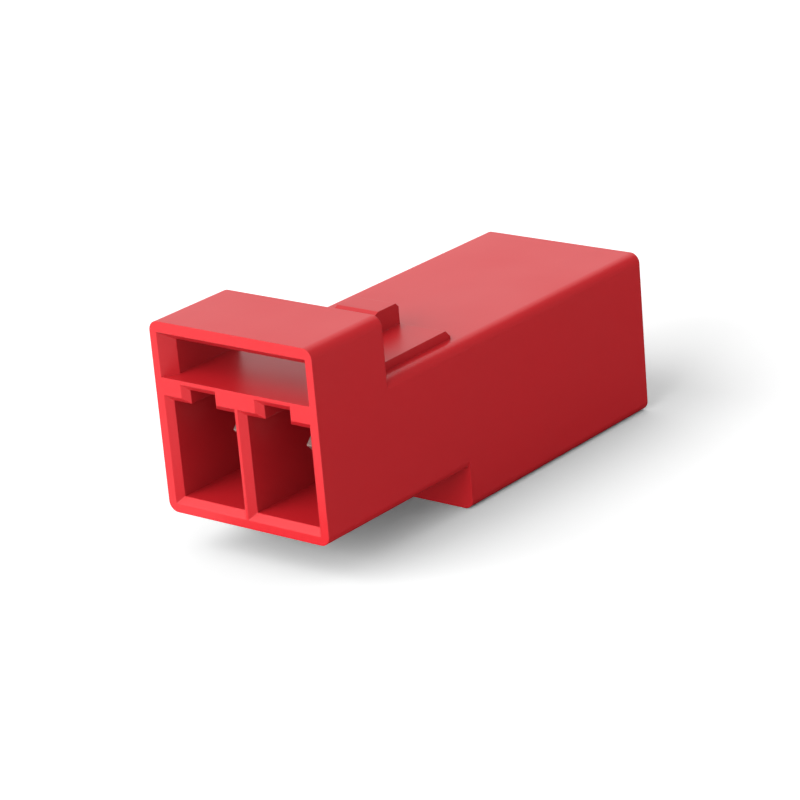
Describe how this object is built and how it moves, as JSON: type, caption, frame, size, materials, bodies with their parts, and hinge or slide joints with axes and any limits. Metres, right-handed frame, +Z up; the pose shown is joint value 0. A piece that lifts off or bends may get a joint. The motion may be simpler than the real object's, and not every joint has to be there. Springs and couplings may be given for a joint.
{
  "type": "wire-to-wire connector",
  "caption": "Red in-line wire connector: a moulded housing with keyed mating cells, square pin contacts, an arch and nib for the mating latch, and a deeper rear section.",
  "frame": {"origin": "underside of the rear section, in the middle of the whole length and width", "axes": "+X across the positions, to the right seen from the mating face; +Y from the mating face to the wire end; +Z up, from the underside to the arch"},
  "size_m": [0.0086, 0.0224, 0.0101],
  "materials": {
    "red_plastic": "satin moulded plastic",
    "plated_contact": "tin-plated, satin"
  },
  "bodies": {
    "root": {"housing": "red_plastic", "contact_left": "plated_contact", "contact_right": "plated_contact"}
  },
  "joints": []
}
